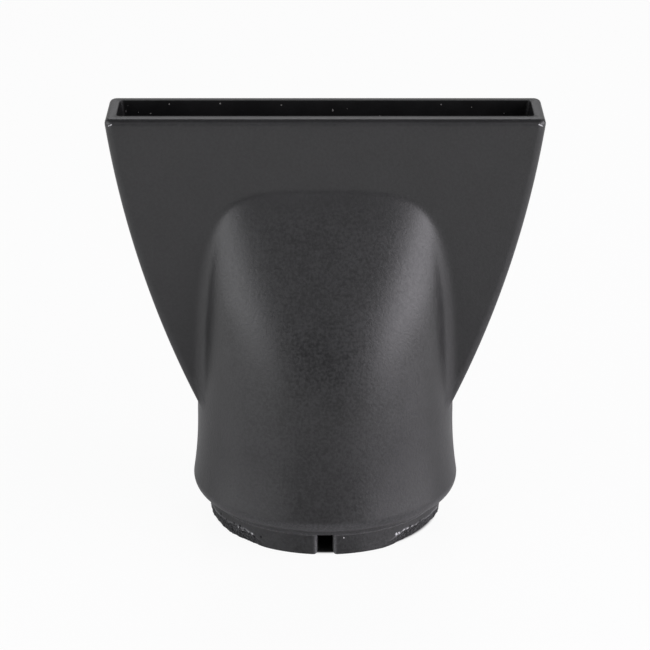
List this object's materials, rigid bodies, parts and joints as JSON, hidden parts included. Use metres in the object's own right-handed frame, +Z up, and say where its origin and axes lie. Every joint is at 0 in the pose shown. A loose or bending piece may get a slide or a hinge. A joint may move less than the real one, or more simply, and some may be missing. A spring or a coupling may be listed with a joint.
{
  "type": "hair dryer concentrator nozzle",
  "caption": "One-piece moulded air nozzle: a round push-in spigot and barrel that flatten through a dome into a wide fan blade with a narrow slot mouth.",
  "frame": {"origin": "middle of the spigot's foot, where the nozzle stands", "axes": "+Z up the spigot's axis to the slot mouth, X along the slot, -Y the front face"},
  "size_m": [0.0806, 0.0508, 0.0805],
  "materials": {
    "moulded_plastic": "satin with a fine moulded grain"
  },
  "bodies": {
    "root": {"nozzle": "moulded_plastic"}
  },
  "joints": []
}
